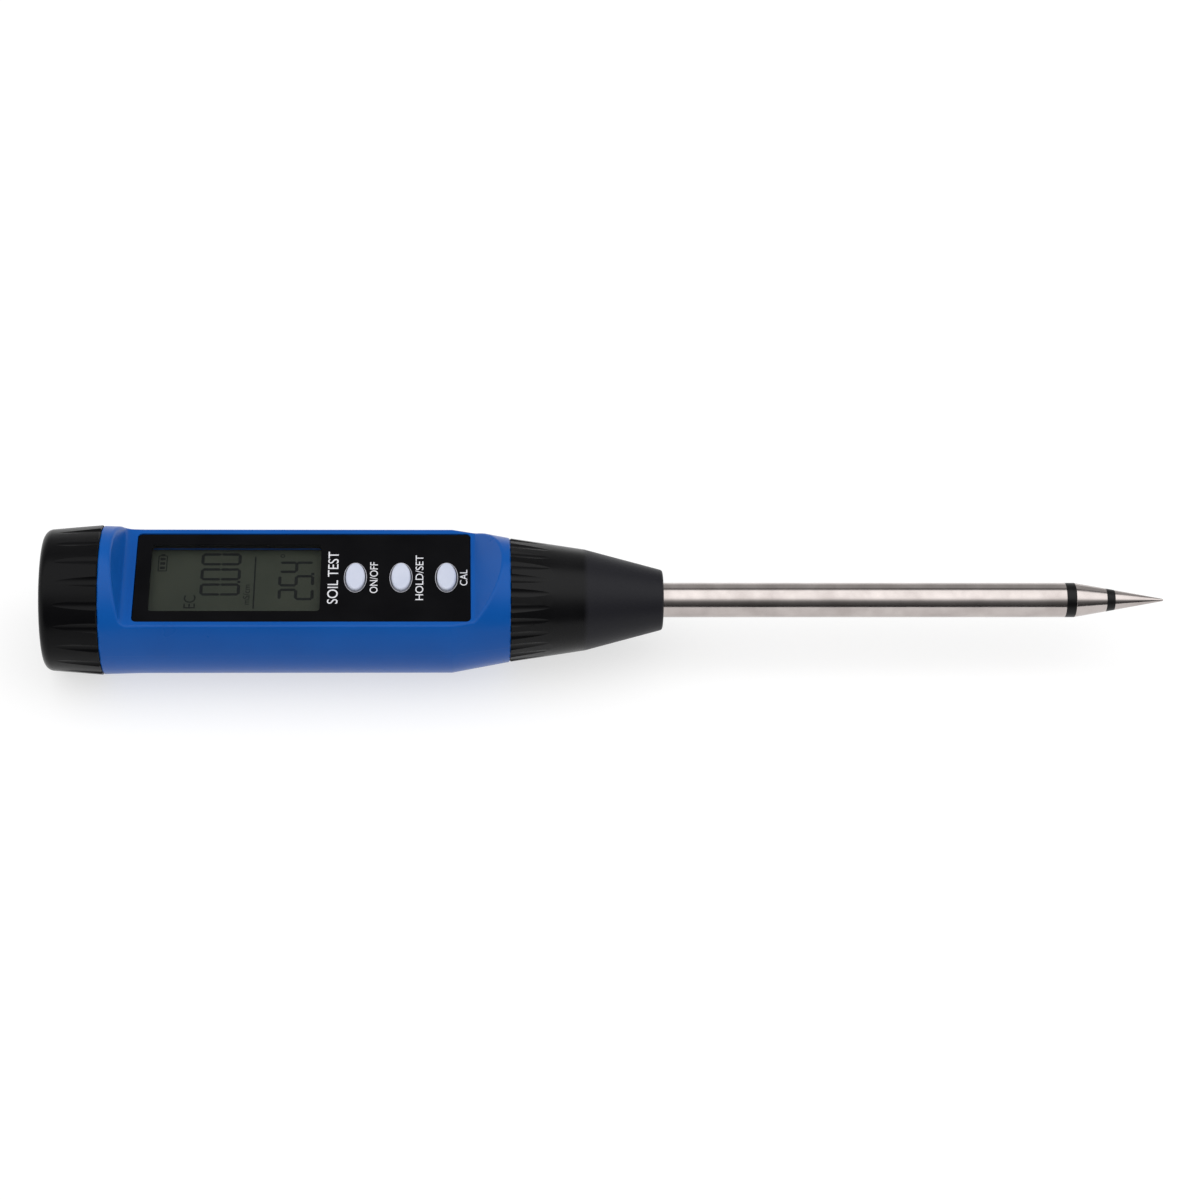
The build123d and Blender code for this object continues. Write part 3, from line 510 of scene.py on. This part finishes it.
def digitRow(row, name):
    pieces = []
    half = row["height"] / 2
    flatLength = row["width"] - lcdSet["stroke"] - lcdSet["segmentGap"]
    tallLength = half - lcdSet["stroke"] / 2 - lcdSet["segmentGap"]
    flatBar = makeBar(flatLength, lcdSet["stroke"], lcdSet["pointed"])
    tallBar = makeBar(tallLength, lcdSet["stroke"], lcdSet["pointed"])
    top = lcdEdge + row["x"]
    inset = lcdSet["stroke"] / 2
    for n, digit in enumerate(row["text"]):
        left = row["y"] + n * row["pitch"]
        middle = left + row["width"] / 2
        right = left + row["width"]
        places = {
            "a": (flatBar, middle, top + inset, pi / 2),
            "g": (flatBar, middle, top + half, pi / 2),
            "d": (flatBar, middle, top + row["height"] - inset, pi / 2),
            "f": (tallBar, left + inset, top + half / 2 + inset / 2, 0),
            "b": (tallBar, right - inset, top + half / 2 + inset / 2, 0),
            "e": (tallBar, left + inset, top + 1.5 * half - inset / 2, 0),
            "c": (tallBar, right - inset, top + 1.5 * half - inset / 2, 0),
        }
        for letter in litSegments[digit]:
            bar, across, down, turn = places[letter]
            pieces.append(placeOnLcd(copyPiece(bar), across, down, turn))
    dot = makeBar(lcdSet["stroke"], lcdSet["stroke"], lcdSet["pointed"] / 2)
    dotAcross = row["y"] + row["point"] * row["pitch"] + (row["width"] + row["pitch"]) / 2
    pieces.append(placeOnLcd(dot, dotAcross, top + row["height"] - inset))
    bpy.data.objects.remove(flatBar)
    bpy.data.objects.remove(tallBar)
    return finishPiece(joinPieces(pieces, name), segmentFinish, "housing")


digitRow(lcdSet["upper"], "lcd_upper_digits")
digitRow(lcdSet["lower"], "lcd_lower_digits")

# line between the two readings, the degree mark and the battery sign
lcdMarks = {
    "lineX": 23.4 * mm, "lineY": (-7.1 * mm, 8.7 * mm), "lineWidth": 0.34 * mm,
    "degreeX": 29.6 * mm, "degreeY": 8.9 * mm, "degreeRadius": 0.55 * mm, "degreeLine": 0.22 * mm,
    "batteryX": 2.2 * mm, "batteryY": 6.6 * mm, "batteryLength": 4.6 * mm, "batteryWidth": 1.9 * mm,
    "batteryStroke": 0.26 * mm, "batteryBars": 3, "cornerCut": 0.05 * mm,
    "barLength": 0.62, "barWidth": 0.17, "barSpread": 0.4,  # shares of the battery sign's size
}


def makeLcdMarks():
    m = lcdMarks
    cut = m["cornerCut"]
    left = lcdEdge
    lineBar = makeBar(m["lineY"][1] - m["lineY"][0], m["lineWidth"], cut)
    pieces = [placeOnLcd(lineBar, sum(m["lineY"]) / 2, left + m["lineX"], pi / 2)]
    degree = makeRing(m["degreeRadius"], m["degreeRadius"], m["degreeLine"], lcdSet["thickness"])
    pieces.append(placeOnLcd(degree, m["degreeY"], left + m["degreeX"]))
    length, width, stroke = m["batteryLength"], m["batteryWidth"], m["batteryStroke"]
    centreX = left + m["batteryX"]
    centreY = m["batteryY"]
    for side in (-1, 1):
        longSide = makeBar(length, stroke, cut)
        pieces.append(placeOnLcd(longSide, centreY, centreX + side * width / 2, pi / 2))
        shortSide = makeBar(width, stroke, cut)
        pieces.append(placeOnLcd(shortSide, centreY + side * length / 2, centreX))
    terminal = makeBar(width / 2, stroke * 2, cut)
    pieces.append(placeOnLcd(terminal, centreY + length / 2 + stroke, centreX))
    spacing = length / (m["batteryBars"] + m["barSpread"])
    for n in range(m["batteryBars"]):
        across = centreY + (n - (m["batteryBars"] - 1) / 2) * spacing
        bar = makeBar(width * m["barLength"], length * m["barWidth"], cut)
        pieces.append(placeOnLcd(bar, across, centreX))
    return finishPiece(joinPieces(pieces, "lcd_marks"), segmentFinish, "housing")


makeLcdMarks()
print("LCD segments made")


# lettering
def makeText(words, name, centre, height, length, thickness, material):
    # flat lettering read along +Y, its tops towards the cap
    deselectAll()
    bpy.ops.object.text_add(location=(0, 0, 0))
    text = bpy.context.object
    text.data.body = words
    text.data.align_x = "CENTER"
    text.data.size = 1.0
    text.data.resolution_u = 6
    text.data.extrude = 0.5
    bpy.ops.object.convert(target="MESH")
    piece = bpy.context.object
    xs = [v.co.x for v in piece.data.vertices]
    ys = [v.co.y for v in piece.data.vertices]
    middle = Vector(((max(xs) + min(xs)) / 2, (max(ys) + min(ys)) / 2, 0))
    size = Vector((length / (max(xs) - min(xs)), height / (max(ys) - min(ys)), thickness))
    piece.data.transform(Matrix.Diagonal((*size, 1)) @ Matrix.Translation(-middle))
    piece.matrix_world = Matrix.Translation(centre) @ Matrix.Rotation(pi / 2, 4, "Z")
    piece.name = name
    piece.data.name = name
    return finishPiece(piece, material, "housing")


panelInk = {
    "thickness": 0.03 * mm,
    # key it stands by, centre from that key along X, cap height and length
    "words": [
        ("SOIL TEST", "title_print", "power", -5.1 * mm, 2.4 * mm, 15.8 * mm),
        ("ON/OFF", "power_print", "power", 4.2 * mm, 1.8 * mm, 9.4 * mm),
        ("HOLD/SET", "hold_print", "hold", 4.2 * mm, 1.8 * mm, 13.6 * mm),
        ("CAL", "cal_print", "cal", 3.9 * mm, 1.7 * mm, 4.8 * mm),
    ],
}
for words, name, keyName, fromKey, height, length in panelInk["words"]:
    makeText(
        words, name, (keyCentres[keyName].x + fromKey, 0, panelTop), height, length,
        panelInk["thickness"], inkFinish,
    )

lcdWords = {
    "thickness": 0.02 * mm,
    "words": [
        ("EC", "lcd_ec_mark", 8.9 * mm, -5.1 * mm, 2.7 * mm, 3.9 * mm),
        ("mS/cm", "lcd_unit_mark", 21.7 * mm, -2.9 * mm, 1.5 * mm, 6.0 * mm),
    ],
}
for words, name, fromEdge, across, height, length in lcdWords["words"]:
    makeText(
        words, name, (lcdEdge + fromEdge, across, lcdTop), height, length,
        lcdWords["thickness"], segmentFinish,
    )
print("lettering made")


# light grey rings round the keys
keyRing = {"outerX": 2.62 * mm, "outerY": 4.5 * mm, "line": 0.15 * mm, "thickness": 0.03 * mm}

for keyName in ("power", "hold", "cal"):
    ring = makeRing(keyRing["outerX"], keyRing["outerY"], keyRing["line"], keyRing["thickness"])
    ring.location = (keyCentres[keyName].x, keyCentres[keyName].y, panelTop)
    ring.name = keyName + "_key_ring"
    ring.data.name = ring.name
    finishPiece(ring, ringFinish, "housing")
print("key rings made")


# camera
view = {
    "lens": 96.9, "sensor": 36.0, "nearest": 0.01, "farthest": 50,
    "elevation": radians(49.0),
    "distance": 745 * mm,  # from the meter's centre line
    "footFromCapEnd": 93.2 * mm,  # along the meter, straight in front of the camera
    "lean": radians(2.62),  # the view is turned this much towards the tip
}


def addCamera():
    footX = capEndX + view["footFromCapEnd"]
    inward = Vector((0, cos(view["elevation"]), -sin(view["elevation"])))
    along = Vector((1, 0, 0))
    spot = Vector((footX, 0, axisHeight)) - inward * view["distance"]
    forward = inward * cos(view["lean"]) + along * sin(view["lean"])
    right = along * cos(view["lean"]) - inward * sin(view["lean"])
    up = right.cross(forward)
    turn = Matrix((right, up, -forward)).transposed().to_4x4()
    data = bpy.data.cameras.new("camera")
    data.lens = view["lens"]
    data.sensor_width = view["sensor"]
    data.clip_start = view["nearest"]
    data.clip_end = view["farthest"]
    camera = bpy.data.objects.new("camera", data)
    camera.matrix_world = Matrix.Translation(spot) @ turn
    bpy.context.scene.collection.objects.link(camera)
    bpy.context.scene.camera = camera


addCamera()


# floor and light
studio = {
    "floorSize": 14.0,  # metres
    "floorColour": "#A4A4A4", "floorGlow": 0.64,
    # how bright it is round the meter: angle in degrees from the near horizon, over the top, to the
    # far horizon, and brightness as a share of the brightest
    "sky": [
        (0, 0.02), (12, 0.035), (29, 0.08), (38, 0.15), (46, 0.3), (54, 0.62), (62, 0.92),
        (80, 1.0), (112, 0.97), (119, 0.6), (123, 0.1), (133, 0.1), (139, 0.26), (180, 0.3),
    ],
    "skyTop": 1.85,
    # how bright it is past the cap end and the tip, and where along X it starts and is full
    "skyEnds": 1.1, "endsStart": 0.75, "endsFull": 0.97,
    "skySeen": 0.99,  # what the camera sees behind the floor
}


def addFloor():
    # white acrylic light table: glows evenly, so shadows stay faint
    deselectAll()
    bpy.ops.mesh.primitive_grid_add(x_subdivisions=8, y_subdivisions=8, size=studio["floorSize"])
    floor = bpy.context.object
    floor.name = "studio_floor"
    applyPlace(floor)
    material, _, shader, _ = startMaterial(
        "lit_white_acrylic", Base_Color=srgb(studio["floorColour"]), Roughness=0.85,
        Specular_IOR_Level=0.1, Emission_Strength=studio["floorGlow"],
    )
    shader.inputs["Emission Color"].default_value = (1.0, 1.0, 1.0, 1.0)
    floor.data.materials.append(material)


def addSky():
    # one long soft light overhead, dim on the near side, a dark gap and a paler wall behind
    world = bpy.data.worlds.new("studio")
    world.use_nodes = True
    bpy.context.scene.world = world
    tree = world.node_tree
    tree.nodes.clear()
    place = addNode(tree, "ShaderNodeTexCoord").outputs["Generated"]
    axes = addNode(tree, "ShaderNodeSeparateXYZ", None, Vector=place)
    nearer = addNode(
        tree, "ShaderNodeMath", {"operation": "MULTIPLY"}, i0=axes.outputs["Y"], i1=-1.0
    )
    angle = addNode(
        tree, "ShaderNodeMath", {"operation": "ARCTAN2"}, i0=axes.outputs["Z"], i1=nearer.outputs[0]
    )
    share = addNode(tree, "ShaderNodeMath", {"operation": "DIVIDE"}, i0=angle.outputs[0], i1=pi)
    ring = addNode(tree, "ShaderNodeValToRGB", None, Fac=share.outputs[0])
    while len(ring.color_ramp.elements) > 1:
        ring.color_ramp.elements.remove(ring.color_ramp.elements[-1])
    for n, (degrees, bright) in enumerate(studio["sky"]):
        part = degrees / 180
        stop = ring.color_ramp.elements[0] if n == 0 else ring.color_ramp.elements.new(part)
        stop.position = part
        stop.color = (bright, bright, bright, 1.0)
    around = addNode(
        tree, "ShaderNodeMath", {"operation": "MULTIPLY"},
        i0=ring.outputs["Color"], i1=studio["skyTop"],
    )
    along = addNode(tree, "ShaderNodeMath", {"operation": "ABSOLUTE"}, i0=axes.outputs["X"])
    ends = addNode(
        tree, "ShaderNodeMapRange", {"interpolation_type": "SMOOTHSTEP"},
        Value=along.outputs[0], i1=studio["endsStart"], i2=studio["endsFull"], i3=0.0, i4=1.0,
    )
    lit = addNode(
        tree, "ShaderNodeMix", None,
        i0=ends.outputs["Result"], i2=around.outputs[0], i3=studio["skyEnds"],
    )
    seen = addNode(tree, "ShaderNodeLightPath").outputs["Is Camera Ray"]
    plain = addNode(
        tree, "ShaderNodeMix", None, i0=seen, i2=lit.outputs["Result"], i3=studio["skySeen"]
    )
    back = addNode(tree, "ShaderNodeBackground", None, Strength=plain.outputs["Result"])
    back.inputs["Color"].default_value = (1.0, 1.0, 1.0, 1.0)
    addNode(tree, "ShaderNodeOutputWorld", None, Surface=back.outputs["Background"])


addFloor()
addSky()
bpy.context.scene.view_settings.view_transform = "Standard"  # plain colours, no film curve
print("camera and light placed")
